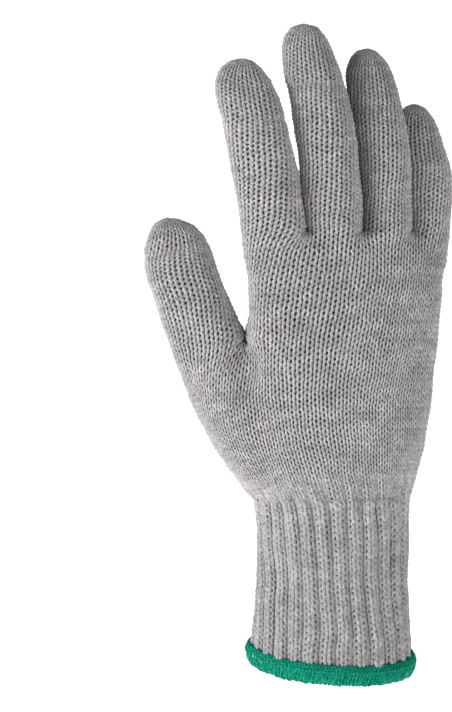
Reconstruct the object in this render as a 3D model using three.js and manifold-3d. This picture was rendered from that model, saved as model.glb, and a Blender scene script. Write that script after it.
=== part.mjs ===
// A seamless knitted work glove for the right hand, kept in the form that it has on a hand. Millimetres, Z up.
// The fingertips point up, the back of the hand faces -Y and the thumb is on the -X side. The origin is the
// centre of the opening at the hem, where the hand goes in.

import * as THREE from 'three';
import { mergeVertices } from 'three/addons/utils/BufferGeometryUtils.js';
import Module from 'manifold-3d';

// Lengths upwards. The cuff ends at the wrist, the palm at the roots of the fingers.
const edgingHeight = 8.2;
const cuffLength = 56.8;
const palmLength = 101;
const thumbForkHeight = 61.5; // above the wrist
const indexLength = 65;
const middleLength = 77.6;
const ringLength = 68.7;
const littleLength = 47.8;
const thumbLength = 44.9; // above the fork

// Widths at the roots of the digits and depths from the back of the hand to the palm side.
const indexWidth = 24.4;
const middleWidth = 20.4;
const ringWidth = 18.2;
const littleWidth = 13.8;
const thumbWidth = 28.4;
const fingerDepth = 19.6;
const thumbDepth = 23;
const palmDepth = 32;
const cuffWidth = 57.4;
const cuffDepth = 42;

// The knitted wall, the gaps between pieces and the depth of the knit's own relief.
const wall = 2;
const clearance = 0.3;
const fingerGap = 0.6;
const ribCount = 26;
const ribRelief = 1.1;
const gatherRelief = 0.9;
const gatherReach = 0.2; // of the palm's length
const edgingThickness = 5.2;
const edgingStitches = 36;
const stitchRelief = 0.3;

// The hem slopes a little: down to the back of the hand and down to the little finger.
const hemSlopeBack = 0.12;
const hemSlopeSide = -0.07;

// The ring at the hem, as shares of the cuff's width and depth.
const edgingWide = 1.125;
const edgingDeep = 1.13;

// Places across the hand, as shares of the knuckles' width: the knuckles' middle and the thumb at its fork.
const knuckleShift = 0.067;
const thumbShift = -0.604;

// The thumb's seam. The thumb leans out by a share of the knuckles' width while it rises by a share of its own
// length, the seam's foot is shifted across and dropped below the fork by such shares, and the seam reaches to
// the palm side by a share of the thumb's width.
const seamLean = 0.24;
const seamRise = 1.01;
const seamShift = 0.028;
const seamDrop = 0.1;
const seamReach = 0.52;

// How boxy the level sections of the digits and the cuff are. 2 is an ellipse.
const digitSquare = 2.15;
const cuffSquare = 2.05;

const gatherCount = Math.round(ribCount / 2);
const edgingTop = edgingHeight;
const cuffBottom = edgingTop + clearance;
const wristHeight = edgingTop + cuffLength;
const knuckleHeight = wristHeight + palmLength;
const forkHeight = wristHeight + thumbForkHeight;
const knuckleWidth = indexWidth + middleWidth + ringWidth + littleWidth + 3 * fingerGap;
const knuckleCentre = knuckleShift * knuckleWidth;
const indexSide = knuckleCentre - knuckleWidth / 2;
const indexPlace = indexSide + indexWidth / 2;
const middlePlace = indexPlace + (indexWidth + middleWidth) / 2 + fingerGap;
const ringPlace = middlePlace + (middleWidth + ringWidth) / 2 + fingerGap;
const littlePlace = ringPlace + (ringWidth + littleWidth) / 2 + fingerGap;
const thumbPlace = thumbShift * knuckleWidth;

// Stations of a digit, from its root inside the palm to its tip. rise is a share of the digit's length, lean
// (to the little finger) of the knuckles' width, curl (to the palm side) of the palm's depth, and wide and deep
// are shares of the digit's own width and depth.
const indexStations = [
  { rise: -0.5, lean: 0.05, curl: 0.0, wide: 0.6, deep: 0.7 },
  { rise: -0.2, lean: 0.006, curl: -0.07, wide: 0.95, deep: 0.98 },
  { rise: 0.0, lean: 0.0, curl: -0.1, wide: 1.0, deep: 1.0 },
  { rise: 0.19, lean: -0.023, curl: -0.14, wide: 0.985, deep: 1.0 },
  { rise: 0.475, lean: -0.069, curl: -0.17, wide: 0.985, deep: 0.98 },
  { rise: 0.65, lean: -0.1, curl: -0.14, wide: 0.975, deep: 0.96 },
  { rise: 0.77, lean: -0.128, curl: -0.08, wide: 0.955, deep: 0.93 },
  { rise: 0.86, lean: -0.149, curl: -0.01, wide: 0.85, deep: 0.84 },
  { rise: 0.925, lean: -0.161, curl: 0.04, wide: 0.66, deep: 0.66 },
  { rise: 0.975, lean: -0.159, curl: 0.07, wide: 0.39, deep: 0.4 },
  { rise: 1.0, lean: -0.157, curl: 0.09, wide: 0.0, deep: 0.0 },
];
const middleStations = [
  { rise: -0.25, lean: 0.0, curl: 0.01, wide: 0.95, deep: 0.95 },
  { rise: 0.0, lean: 0.0, curl: 0.0, wide: 1.0, deep: 1.0 },
  { rise: 0.155, lean: -0.018, curl: -0.015, wide: 1.08, deep: 1.0 },
  { rise: 0.4, lean: -0.041, curl: -0.015, wide: 1.09, deep: 1.0 },
  { rise: 0.54, lean: -0.064, curl: 0.015, wide: 1.08, deep: 1.0 },
  { rise: 0.64, lean: -0.081, curl: 0.06, wide: 1.07, deep: 1.0 },
  { rise: 0.76, lean: -0.109, curl: 0.14, wide: 1.05, deep: 0.97 },
  { rise: 0.88, lean: -0.139, curl: 0.24, wide: 0.92, deep: 0.84 },
  { rise: 0.935, lean: -0.146, curl: 0.28, wide: 0.78, deep: 0.7 },
  { rise: 0.978, lean: -0.15, curl: 0.31, wide: 0.5, deep: 0.44 },
  { rise: 1.0, lean: -0.153, curl: 0.325, wide: 0.0, deep: 0.0 },
];
const ringStations = [
  { rise: -0.3, lean: 0.0, curl: 0.09, wide: 0.96, deep: 0.92 },
  { rise: 0.0, lean: 0.0, curl: 0.11, wide: 1.0, deep: 0.96 },
  { rise: 0.17, lean: -0.007, curl: 0.125, wide: 1.02, deep: 0.96 },
  { rise: 0.445, lean: -0.023, curl: 0.16, wide: 1.09, deep: 0.97 },
  { rise: 0.61, lean: -0.05, curl: 0.22, wide: 1.13, deep: 0.97 },
  { rise: 0.72, lean: -0.068, curl: 0.28, wide: 1.1, deep: 0.95 },
  { rise: 0.83, lean: -0.087, curl: 0.36, wide: 1.02, deep: 0.86 },
  { rise: 0.885, lean: -0.094, curl: 0.4, wide: 0.92, deep: 0.76 },
  { rise: 0.94, lean: -0.1, curl: 0.44, wide: 0.73, deep: 0.6 },
  { rise: 0.98, lean: -0.099, curl: 0.48, wide: 0.42, deep: 0.36 },
  { rise: 1.0, lean: -0.096, curl: 0.5, wide: 0.0, deep: 0.0 },
];
const littleStations = [
  { rise: -0.75, lean: -0.07, curl: 0.16, wide: 0.6, deep: 0.6 },
  { rise: -0.28, lean: -0.012, curl: 0.23, wide: 0.98, deep: 0.8 },
  { rise: 0.0, lean: 0.0, curl: 0.26, wide: 1.02, deep: 0.8 },
  { rise: 0.24, lean: -0.001, curl: 0.34, wide: 1.19, deep: 0.8 },
  { rise: 0.48, lean: -0.013, curl: 0.42, wide: 1.22, deep: 0.8 },
  { rise: 0.635, lean: -0.039, curl: 0.5, wide: 1.23, deep: 0.8 },
  { rise: 0.79, lean: -0.062, curl: 0.58, wide: 1.21, deep: 0.78 },
  { rise: 0.87, lean: -0.071, curl: 0.62, wide: 1.06, deep: 0.7 },
  { rise: 0.95, lean: -0.074, curl: 0.66, wide: 0.65, deep: 0.46 },
  { rise: 1.0, lean: -0.076, curl: 0.69, wide: 0.0, deep: 0.0 },
];
const thumbStations = [
  { rise: -1.56, lean: 0.45, curl: 0.04, wide: 0.9, deep: 1.1 },
  { rise: -1.385, lean: 0.418, curl: 0.05, wide: 1.08, deep: 1.26 },
  { rise: -1.17, lean: 0.334, curl: 0.07, wide: 1.16, deep: 1.32 },
  { rise: -0.98, lean: 0.269, curl: 0.09, wide: 1.21, deep: 1.3 },
  { rise: -0.765, lean: 0.205, curl: 0.1, wide: 1.25, deep: 1.26 },
  { rise: -0.565, lean: 0.152, curl: 0.1, wide: 1.25, deep: 1.2 },
  { rise: -0.36, lean: 0.103, curl: 0.09, wide: 1.23, deep: 1.12 },
  { rise: -0.165, lean: 0.05, curl: 0.08, wide: 1.15, deep: 1.06 },
  { rise: 0.05, lean: -0.01, curl: 0.06, wide: 1.03, deep: 1.0 },
  { rise: 0.27, lean: -0.058, curl: 0.06, wide: 1.0, deep: 1.0 },
  { rise: 0.47, lean: -0.1, curl: 0.06, wide: 0.98, deep: 1.0 },
  { rise: 0.6, lean: -0.119, curl: 0.08, wide: 0.95, deep: 0.97 },
  { rise: 0.72, lean: -0.134, curl: 0.1, wide: 0.89, deep: 0.9 },
  { rise: 0.85, lean: -0.145, curl: 0.12, wide: 0.745, deep: 0.76 },
  { rise: 0.935, lean: -0.158, curl: 0.14, wide: 0.53, deep: 0.56 },
  { rise: 0.985, lean: -0.17, curl: 0.15, wide: 0.25, deep: 0.28 },
  { rise: 1.0, lean: -0.175, curl: 0.155, wide: 0.0, deep: 0.0 },
];

// Stations of the palm. rise is a share of the palm's length, shift (to the little finger) and wide of the
// knuckles' width, deep of the palm's depth, and turn is the angle in degrees by which the little finger's side
// lies further from the viewer of the back. square 2 is an ellipse, and more is boxier.
const palmStations = [
  { rise: -0.06, shift: 0.002, wide: 0.745, deep: 1.32, turn: 2, square: 2.1 },
  { rise: 0.0, shift: 0.004, wide: 0.757, deep: 1.31, turn: 2, square: 2.1 },
  { rise: 0.065, shift: 0.013, wide: 0.79, deep: 1.25, turn: 3, square: 2.2 },
  { rise: 0.14, shift: 0.024, wide: 0.816, deep: 1.19, turn: 4, square: 2.3 },
  { rise: 0.215, shift: 0.034, wide: 0.836, deep: 1.13, turn: 4, square: 2.4 },
  { rise: 0.37, shift: 0.045, wide: 0.87, deep: 1.06, turn: 6, square: 2.5 },
  { rise: 0.59, shift: 0.056, wide: 0.91, deep: 0.98, turn: 8, square: 2.6 },
  { rise: 0.745, shift: 0.064, wide: 0.928, deep: 0.92, turn: 9, square: 2.7 },
  { rise: 0.86, shift: 0.067, wide: 0.955, deep: 0.8, turn: 10, square: 2.7 },
  { rise: 0.94, shift: 0.067, wide: 0.96, deep: 0.67, turn: 11, square: 2.6 },
  { rise: 0.985, shift: 0.067, wide: 0.92, deep: 0.5, turn: 11, square: 2.5 },
];

// The palm's middle moves to the palm side by this share of its depth up to the knuckles.
const knuckleCurl = 0.04;

// Stations of the cuff, to the crests of its ribs. rise is a share of the cuff's length, shift and wide of the
// cuff's width, deep of the cuff's depth.
const cuffStations = [
  { rise: -0.12, shift: 0.0, wide: 1.082, deep: 1.07 },
  { rise: 0.03, shift: 0.0, wide: 1.07, deep: 1.06 },
  { rise: 0.17, shift: 0.005, wide: 1.042, deep: 1.03 },
  { rise: 0.3, shift: 0.006, wide: 1.026, deep: 1.01 },
  { rise: 0.44, shift: 0.009, wide: 1.006, deep: 1.0 },
  { rise: 0.61, shift: 0.012, wide: 1.0, deep: 0.99 },
  { rise: 0.78, shift: 0.011, wide: 1.008, deep: 0.99 },
  { rise: 0.92, shift: 0.007, wide: 1.024, deep: 1.0 },
  { rise: 1.06, shift: 0.003, wide: 1.034, deep: 1.0 },
];

// Numbers of points round each tube.
const aroundDigit = 20;
const aroundPalm = 3 * gatherCount;
const aroundCuff = 3 * ribCount;
const aroundLining = 40;
const aroundEdging = 2 * edgingStitches;
const sectionSides = 8;

const wasm = await Module();
wasm.setup();

// The height of the hem's plane above the origin at a place.
function hemRise(x, y) {
  return hemSlopeBack * y + hemSlopeSide * x;
}

// A number raised to a power with its sign kept.
function signedPower(value, power) {
  return Math.sign(value) * Math.abs(value) ** power;
}

// A point of a level section at an angle. The section has z, x, y, halfWidth, halfDepth, turn and square, and
// relief(angle) is added outwards.
function sectionPoint(section, angle, relief) {
  const grown = relief(angle);
  const across = (section.halfWidth + grown) * signedPower(Math.cos(angle), 2 / section.square);
  const back = (section.halfDepth + grown) * signedPower(Math.sin(angle), 2 / section.square);
  const cos = Math.cos(section.turn);
  const sin = Math.sin(section.turn);
  return [section.x + across * cos - back * sin, section.y + across * sin + back * cos, section.z];
}

// A closed tube through level sections, from the lowest to the highest, with relief(angle, section) on its side.
// A last section of no size makes a pointed end.
function loft(sections, around, relief = () => 0) {
  const positions = [];
  const faces = [];
  const last = sections[sections.length - 1];
  const pointed = last.halfWidth === 0;
  const rings = pointed ? sections.slice(0, -1) : sections;
  for (const section of rings) {
    for (let i = 0; i < around; i += 1) {
      const angle = (2 * Math.PI * i) / around;
      positions.push(...sectionPoint(section, angle, (a) => relief(a, section)));
    }
  }
  for (let ring = 0; ring < rings.length - 1; ring += 1) {
    for (let i = 0; i < around; i += 1) {
      const here = ring * around + i;
      const beside = ring * around + ((i + 1) % around);
      faces.push(here, beside, beside + around, here, beside + around, here + around);
    }
  }
  const lowCentre = positions.length / 3;
  positions.push(sections[0].x, sections[0].y, sections[0].z);
  positions.push(last.x, last.y, last.z);
  const topRing = (rings.length - 1) * around;
  for (let i = 0; i < around; i += 1) {
    const beside = (i + 1) % around;
    faces.push(lowCentre, beside, i);
    faces.push(lowCentre + 1, topRing + i, topRing + beside);
  }
  return indexedGeometry(positions, faces);
}

// A closed ring swept round the hem: an oval section whose size swells at every other station.
function hemRing() {
  const positions = [];
  const faces = [];
  for (let i = 0; i < aroundEdging; i += 1) {
    const angle = (2 * Math.PI * i) / aroundEdging;
    const swell = i % 2 === 0 ? stitchRelief : 0;
    const outwards = new THREE.Vector3(Math.cos(angle), Math.sin(angle), 0);
    const x = edgingHalfWidth * outwards.x;
    const y = edgingHalfDepth * outwards.y;
    const z = edgingHeight / 2 + hemRise(x, y);
    for (let j = 0; j < sectionSides; j += 1) {
      const turn = (2 * Math.PI * (j + 0.5)) / sectionSides;
      const out = (edgingThickness / 2 + swell) * Math.cos(turn);
      positions.push(x + out * outwards.x, y + out * outwards.y, z + (edgingHeight / 2) * Math.sin(turn));
    }
  }
  for (let i = 0; i < aroundEdging; i += 1) {
    for (let j = 0; j < sectionSides; j += 1) {
      const here = i * sectionSides + j;
      const up = i * sectionSides + ((j + 1) % sectionSides);
      const beside = ((i + 1) % aroundEdging) * sectionSides + j;
      const besideUp = ((i + 1) % aroundEdging) * sectionSides + ((j + 1) % sectionSides);
      faces.push(here, beside, besideUp, here, besideUp, up);
    }
  }
  return indexedGeometry(positions, faces);
}

function indexedGeometry(positions, faces) {
  const geometry = new THREE.BufferGeometry();
  geometry.setAttribute('position', new THREE.Float32BufferAttribute(positions, 3));
  geometry.setIndex(faces);
  return geometry;
}

// The same surface moved along its normals, outwards for a positive distance.
function movedOut(geometry, distance) {
  const moved = geometry.clone();
  moved.computeVertexNormals();
  const place = moved.attributes.position;
  const normal = moved.attributes.normal;
  for (let i = 0; i < place.count; i += 1) {
    place.setXYZ(
      i,
      place.getX(i) + distance * normal.getX(i),
      place.getY(i) + distance * normal.getY(i),
      place.getZ(i) + distance * normal.getZ(i),
    );
  }
  moved.deleteAttribute('normal');
  return moved;
}

// A closed geometry as a solid for joins and cuts, and a solid as a geometry.
function solidOf(geometry) {
  const bare = geometry.clone();
  bare.deleteAttribute('normal');
  bare.deleteAttribute('uv');
  const merged = mergeVertices(bare, 1e-4);
  return new wasm.Manifold(
    new wasm.Mesh({
      numProp: 3,
      vertProperties: new Float32Array(merged.attributes.position.array),
      triVerts: new Uint32Array(merged.index.array),
    }),
  );
}

function geometryOf(solid) {
  const mesh = solid.getMesh();
  return indexedGeometry(Array.from(mesh.vertProperties), Array.from(mesh.triVerts));
}

// The level sections of a digit whose root's centre is at place and whose stations rise from a height.
function digitSections(stations, { place, height, length, width, depth }) {
  return stations.map((station) => ({
    z: height + station.rise * length,
    x: place + station.lean * knuckleWidth,
    y: station.curl * palmDepth,
    halfWidth: (station.wide * width) / 2,
    halfDepth: (station.deep * depth) / 2,
    turn: 0,
    square: digitSquare,
  }));
}

function palmSections() {
  return palmStations.map((station) => ({
    z: wristHeight + station.rise * palmLength,
    x: station.shift * knuckleWidth,
    y: knuckleCurl * Math.max(0, station.rise) * palmDepth,
    halfWidth: (station.wide * knuckleWidth) / 2,
    halfDepth: (station.deep * palmDepth) / 2,
    turn: THREE.MathUtils.degToRad(station.turn),
    square: station.square,
  }));
}

// The sections of the cuff, with everything drawn in from the rib crests by inset.
function cuffSections(inset) {
  return cuffStations.map((station) => ({
    z: edgingTop + station.rise * cuffLength,
    x: station.shift * cuffWidth,
    y: 0,
    halfWidth: (station.wide * cuffWidth) / 2 - inset,
    halfDepth: (station.deep * cuffDepth) / 2 - inset,
    turn: 0,
    square: cuffSquare,
  }));
}

// The gathers where the palm's wide knitting meets the cuff, fading out upwards.
function gathers(angle, section) {
  const reach = gatherReach * palmLength;
  const fade = THREE.MathUtils.clamp(1 - (section.z - wristHeight) / reach, 0, 1);
  return (gatherRelief / 2) * fade * (Math.cos(gatherCount * angle) - 1);
}

function ribs(angle) {
  return (ribRelief / 2) * (Math.cos(ribCount * angle) - 1);
}

function fingerSize(place, length, width) {
  return { place, height: knuckleHeight, length, width, depth: fingerDepth };
}

const digits = {
  index_finger: { stations: indexStations, size: fingerSize(indexPlace, indexLength, indexWidth) },
  middle_finger: { stations: middleStations, size: fingerSize(middlePlace, middleLength, middleWidth) },
  ring_finger: { stations: ringStations, size: fingerSize(ringPlace, ringLength, ringWidth) },
  little_finger: { stations: littleStations, size: fingerSize(littlePlace, littleLength, littleWidth) },
  thumb: {
    stations: thumbStations,
    size: { place: thumbPlace, height: forkHeight, length: thumbLength, width: thumbWidth, depth: thumbDepth },
  },
};
const fingerNames = ['index_finger', 'middle_finger', 'ring_finger', 'little_finger'];

function digitForm(name) {
  const { stations, size } = digits[name];
  return loft(digitSections(stations, size), aroundDigit);
}

// A block that holds everything above a height, or below it.
const blockSide = 2 * (knuckleWidth + thumbWidth + palmLength);
function blockAbove(height) {
  const block = new THREE.BoxGeometry(blockSide, blockSide, blockSide);
  return solidOf(block.translate(0, 0, height + blockSide / 2));
}

function blockBelow(height) {
  const block = new THREE.BoxGeometry(blockSide, blockSide, blockSide);
  return solidOf(block.translate(0, 0, height - blockSide / 2));
}

// A block that holds the thumb beyond its seam with the palm. It stands square to the thumb's line, its foot is
// the seam, and spare moves its foot and its palm side outwards.
const thumbLeanAngle = Math.atan2(seamLean * knuckleWidth, seamRise * thumbLength);
function thumbBlock(spare) {
  const height = 2 * thumbLength;
  const outerSide = thumbWidth;
  const palmSide = seamReach * thumbWidth + spare;
  const block = new THREE.BoxGeometry(outerSide + palmSide, 3 * palmDepth, height);
  block.translate((palmSide - outerSide) / 2, 0, height / 2 - spare);
  block.rotateY(-thumbLeanAngle);
  block.translate(thumbPlace + seamShift * knuckleWidth, 0, forkHeight - seamDrop * thumbLength);
  return solidOf(block);
}

// The hand's part from the wrist to the knuckles and the thumb's seam, hollow, with the digits' roots joined in.
function palmPiece() {
  const palmForm = loft(palmSections(), aroundPalm, gathers);
  let outside = solidOf(palmForm);
  let inside = solidOf(movedOut(palmForm, -wall));
  for (const name of Object.keys(digits)) {
    outside = outside.add(solidOf(digitForm(name)));
    inside = inside.add(solidOf(movedOut(digitForm(name), -wall)));
  }
  return outside
    .subtract(inside)
    .subtract(blockAbove(knuckleHeight))
    .subtract(blockBelow(wristHeight + clearance))
    .subtract(thumbBlock(clearance));
}

// A finger above the palm. Where it touches the finger before it, it is pressed in and stays clear of it.
function fingerPiece(name, before) {
  let outside = solidOf(digitForm(name));
  if (before) {
    outside = outside.subtract(solidOf(movedOut(digitForm(before), clearance)));
  }
  const inside = solidOf(movedOut(digitForm(name), -wall));
  return outside.subtract(inside).subtract(blockBelow(knuckleHeight + clearance));
}

function thumbPiece() {
  const outside = solidOf(digitForm('thumb'));
  const inside = solidOf(movedOut(digitForm('thumb'), -wall));
  return outside.subtract(inside).intersect(thumbBlock(0));
}

// A thick sheet whose top is the sloping plane at a height over the origin.
function blockUnderHem(height) {
  const block = new THREE.BoxGeometry(blockSide, blockSide, blockSide);
  const place = block.attributes.position;
  for (let i = 0; i < place.count; i += 1) {
    const top = place.getZ(i) > 0 ? height : height - blockSide;
    place.setZ(i, top + hemRise(place.getX(i), place.getY(i)));
  }
  return solidOf(block);
}

function cuffPiece() {
  const outside = solidOf(loft(cuffSections(0), aroundCuff, ribs));
  const inside = solidOf(loft(cuffSections(ribRelief + wall), aroundLining));
  return outside
    .subtract(inside)
    .subtract(blockAbove(wristHeight))
    .subtract(blockUnderHem(cuffBottom));
}

const edgingHalfWidth = (edgingWide * cuffWidth - edgingThickness) / 2;
const edgingHalfDepth = (edgingDeep * cuffDepth - edgingThickness) / 2;

const greyKnit = new THREE.Color(0x908e8f);
const greenThread = new THREE.Color(0x11886f);

function knitMaterial(color) {
  return new THREE.MeshStandardMaterial({ color, roughness: 0.92, metalness: 0 });
}

function namedMesh(name, geometry, color) {
  const mesh = new THREE.Mesh(geometry, knitMaterial(color));
  mesh.name = name;
  return mesh;
}

const group = new THREE.Group();
group.add(namedMesh('palm', geometryOf(palmPiece()), greyKnit));
fingerNames.forEach((name, i) => {
  group.add(namedMesh(name, geometryOf(fingerPiece(name, fingerNames[i - 1])), greyKnit));
});
group.add(namedMesh('thumb', geometryOf(thumbPiece()), greyKnit));
group.add(namedMesh('rib_cuff', geometryOf(cuffPiece()), greyKnit));
group.add(namedMesh('cuff_edging', hemRing(), greenThread));

export default group;
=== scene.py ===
import math

import bpy
import numpy as np
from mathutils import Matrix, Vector
from mathutils import noise as space_noise
from mathutils.bvhtree import BVHTree


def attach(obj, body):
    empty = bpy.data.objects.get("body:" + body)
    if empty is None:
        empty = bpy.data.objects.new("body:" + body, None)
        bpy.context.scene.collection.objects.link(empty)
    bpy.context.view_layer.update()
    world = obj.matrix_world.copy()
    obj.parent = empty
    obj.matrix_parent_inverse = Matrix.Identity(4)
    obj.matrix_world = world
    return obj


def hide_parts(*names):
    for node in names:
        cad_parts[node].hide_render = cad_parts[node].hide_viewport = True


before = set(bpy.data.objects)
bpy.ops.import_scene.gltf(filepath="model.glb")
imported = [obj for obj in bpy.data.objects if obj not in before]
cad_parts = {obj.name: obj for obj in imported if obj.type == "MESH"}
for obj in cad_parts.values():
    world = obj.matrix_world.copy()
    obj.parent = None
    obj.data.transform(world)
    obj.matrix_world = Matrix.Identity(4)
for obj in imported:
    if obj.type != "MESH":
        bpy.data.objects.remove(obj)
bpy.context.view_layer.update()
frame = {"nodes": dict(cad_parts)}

# A seamless knitted work glove. Every course of the knitting is a real ring of yarn loops. The grid of
# stitches is laid out as on a glove machine: the fingers' tubes run on into the palm, and the palm and the
# thumb into the cuff. It is then relaxed on the outside of the CAD pieces. Lengths are in metres.

MM = 0.001
FAR = 0.3  # where rays start, outside of everything
SEED = 7
rng = np.random.default_rng(SEED)
space_noise.seed_set(SEED)  # without it the noise is seeded from the clock

# Stitches of each finger that grow out of the palm's front (and as many out of its back), and the ones that
# are taken up at its left and right crotch.
FINGERS = {
    "index_finger": (8, 0, 0),
    "middle_finger": (7, 1, 2),
    "ring_finger": (7, 2, 2),
    "little_finger": (7, 1, 0),
}
HALF_PALM = sum(shared for shared, _, _ in FINGERS.values())
HALF_THUMB = 10
PALM_WALES = 2 * HALF_PALM
THUMB_WALES = 2 * HALF_THUMB
HEEL_WALES = PALM_WALES + THUMB_WALES
RIB_WALES = 3  # two raised and one sunk

# Heights of a course and the width of a stitch in the relaxed knitting.
FINGER_COURSE = 1.62 * MM
THUMB_COURSE = 1.85 * MM
PALM_COURSE = 2.0 * MM
CUFF_COURSE = 2.15 * MM
STITCH_WIDTH = 2.8 * MM

# The back of the hand is stretched across by this share, less a level of it, most at the middle of the
# stretch. Over SIDE_DEPTH it goes over into the palm side, which is narrowed as much.
FRONT_STRETCH = 0.66
STRETCH_LEVEL = 0.55
STRETCH_MIDDLE = -8 * MM
STRETCH_REACH = 24 * MM
SIDE_DEPTH = 8 * MM

# How a digit is measured, and how far its stitches drift round it as a share of the way up.
DIGIT_LEVELS = 70
SECTION_POINTS = 12
TIP_RADIUS = 2.0 * MM
SPIRAL = {"finger": 0.2, "thumb": 0.13}

# Where the grid is laid out on the hand: the height of the thumb's foot in which its fork is looked for, how
# much a higher point is preferred there, and the depths at which the hand's edges are found.
THUMB_FOOT = 14 * MM
FORK_BIAS = 0.2
DIGIT_FOOT = 6 * MM
LEFT_EDGE_DEPTH = 2.5 * MM
RIGHT_EDGE_DEPTH = 3 * MM
PALM_EDGE_DEPTH = 5 * MM
EDGE_INSET = 0.5 * MM
FORK_INSET = 1.5 * MM
THUMB_DROP = 2 * MM  # from the thumb's outer foot down to the heel's last row
WRIST_SHIFT = -5.5 * MM  # of the stitches round the wrist

# The relaxing. A load pulls the back of the hand to the thumb at each step, most below the fork.
RELAX_STEPS = 240
PULL_SHARE = 0.9
MOMENTUM = 0.85
TIP_ROWS = {"finger": 16, "thumb": 9}  # rows at a digit's tip that aren't relaxed
SIDE_PULL = 0.02 * MM
PULL_MIDDLE = 105 * MM
PULL_REACH = 22 * MM
SMOOTH_STEPS = 14
SMOOTH_SHARES = (0.5, -0.53)
MOST_STRETCH = 1.25  # of a course
WANDERS = ((0.5 * MM, 13 * MM), (0.2 * MM, 3.5 * MM))  # how far the stitches wander, over which length

# Where digits touch and how the knitting is drawn together at the crotches.
TOUCHING_GAP = 1.3 * MM  # fingers this near touch, and they part where the gap reaches twice as much
FORK_GAP = 2.4 * MM  # the same for the palm and the thumb
CROTCH_HEIGHT = 5 * MM  # over which a wider gap closes
YARN_OVERLAP = 0.4 * MM
FORK_LIFT = 1.5 * MM
CROTCH_LIFT = 0.8 * MM
PUCKER = 0.5
PUCKER_REACH = 4.5 * MM

# The yarn loop: its radius in a stitch of the full width, how far its legs stand out, and its form as shares
# of a stitch.
FULL_WIDTH = 4.0 * MM
YARN_RADIUS = 0.6 * MM
CROWDING = 0.52  # how much the yarn gives in a narrower stitch, from 0 to 1
LEG_DEPTH = 0.52 * MM
RIB_FLATNESS = 0.5  # the share of that depth which a stitch loses in the ribs
LEG_ARCH = 1.6
HEAD_DEPTH = 0.7
LOOP_BULGE = 0.2
LOOP_REACH = 0.84
POINTS_PER_STITCH = 9
YARN_SIDES = 5

# How uneven the loops are, as shares of their own sizes.
BULGE_NOISE = 0.18
PLACE_NOISE = 0.035
REACH_NOISE = 0.1
DEPTH_NOISE = 0.2
THICKNESS_NOISE = ((0.09, 5), (0.06, 40))  # each over a number of points along the yarn
TONE_NOISE = ((0.28, 25), (0.22, 9))

# The skin of the reverse behind the loops.
KNIT_INSET = 0.75 * MM  # from the CAD surface to the middle of the knitting
BACKING_DEPTH = 0.7 * MM
BACKING_THICKNESS = 0.8 * MM
HEM_TUCK = 4 * MM

# The ribs: the width of a raised stitch as a share of an even one, the groove's depth, how narrow and uneven
# it is, the fuller yarn on a rib, and how the ribs lean and wander on the cuff.
RAISED_WIDTH = 1.38
GROOVE_DEPTH = 1.2 * MM
GROOVE_POWER = 3.0
GROOVE_NOISE = 0.25
RIB_FADE_ROWS = 7
RIB_FULLNESS = 1.9
RIB_WANDER = 0.55 * MM
CUFF_LEAN = 0.06
CUFF_POINTS = 240  # round a ring of the cuff, when it is measured
CREST_POINTS = 4  # to each side, over which the crests of the ribs are found
EVEN_POINTS = 8  # to each side, over which they are evened out
HEM_GAP = 0.8 * MM

# The hem: turns of two threads each round a core, and a chain along the upper outside.
EDGING_WRAPS = 118
EDGING_THREAD = 0.5 * MM
HEM_STATIONS = 72  # where its middle line is measured
HEM_RADIUS = 30 * MM  # about that of the middle line
WRAP_POINTS = 24
THREAD_OFFSET = 0.16  # of a turn, from its middle to each thread
CHAIN_POINTS = 10  # for each turn
CHAIN_TILT = math.radians(38)
CHAIN_SWING = math.radians(26)
CORE_STATIONS = 144
CORE_SIDES = 12

# How much darker the yarn is drawn: painted shadow beside a neighbouring finger, and on the cuff.
NEIGHBOURS = {"middle_finger": ("index_finger", 0.2), "ring_finger": ("middle_finger", 0.5)}
SHADE_REACH = 10 * MM
CUFF_SHADE = 0.1
TONE_BASE = 2.0  # a yarn's tone of minus this is black


def points_and_faces(node):
    """A CAD node's vertices, merged by place, and its triangles."""
    mesh = node.data
    mesh.calc_loop_triangles()
    raw = np.empty(len(mesh.vertices) * 3)
    mesh.vertices.foreach_get("co", raw)
    corners = np.empty(len(mesh.loop_triangles) * 3, dtype=np.int64)
    mesh.loop_triangles.foreach_get("vertices", corners)
    places, merged = np.unique(np.round(raw.reshape(-1, 3), 7), axis=0, return_inverse=True)
    return places, merged.reshape(-1)[corners].reshape(-1, 3)


def outside_of(node, crease_deg=65):
    """The triangles of a shell's outside: the largest of the parts that its sharp rims divide it into."""
    points, faces = points_and_faces(node)
    cross = np.cross(points[faces[:, 1]] - points[faces[:, 0]], points[faces[:, 2]] - points[faces[:, 0]])
    area = np.linalg.norm(cross, axis=1)
    normals = cross / np.maximum(area, 1e-15)[:, None]
    edges = np.sort(np.vstack([faces[:, [0, 1]], faces[:, [1, 2]], faces[:, [2, 0]]]), axis=1)
    owner = np.tile(np.arange(len(faces)), 3)
    order = np.lexsort((edges[:, 1], edges[:, 0]))
    edges, owner = edges[order], owner[order]
    same = np.all(edges[1:] == edges[:-1], axis=1)
    first, second = owner[:-1][same], owner[1:][same]
    smooth = np.einsum("ij,ij->i", normals[first], normals[second]) > math.cos(math.radians(crease_deg))
    first, second = first[smooth], second[smooth]
    label = np.arange(len(faces))
    while True:
        lowest = np.minimum(label[first], label[second])
        before = label.copy()
        np.minimum.at(label, first, lowest)
        np.minimum.at(label, second, lowest)
        if np.array_equal(before, label):
            break
    sizes = np.bincount(label, weights=area)
    return points, faces[label == np.argmax(sizes)]


def tree_of(parts):
    """One search tree over several (points, faces) surfaces."""
    points = []
    faces = []
    start = 0
    for some_points, some_faces in parts:
        points.append(some_points)
        faces.append(some_faces + start)
        start += len(some_points)
    return BVHTree.FromPolygons(np.vstack(points).tolist(), np.vstack(faces).tolist())


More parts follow.
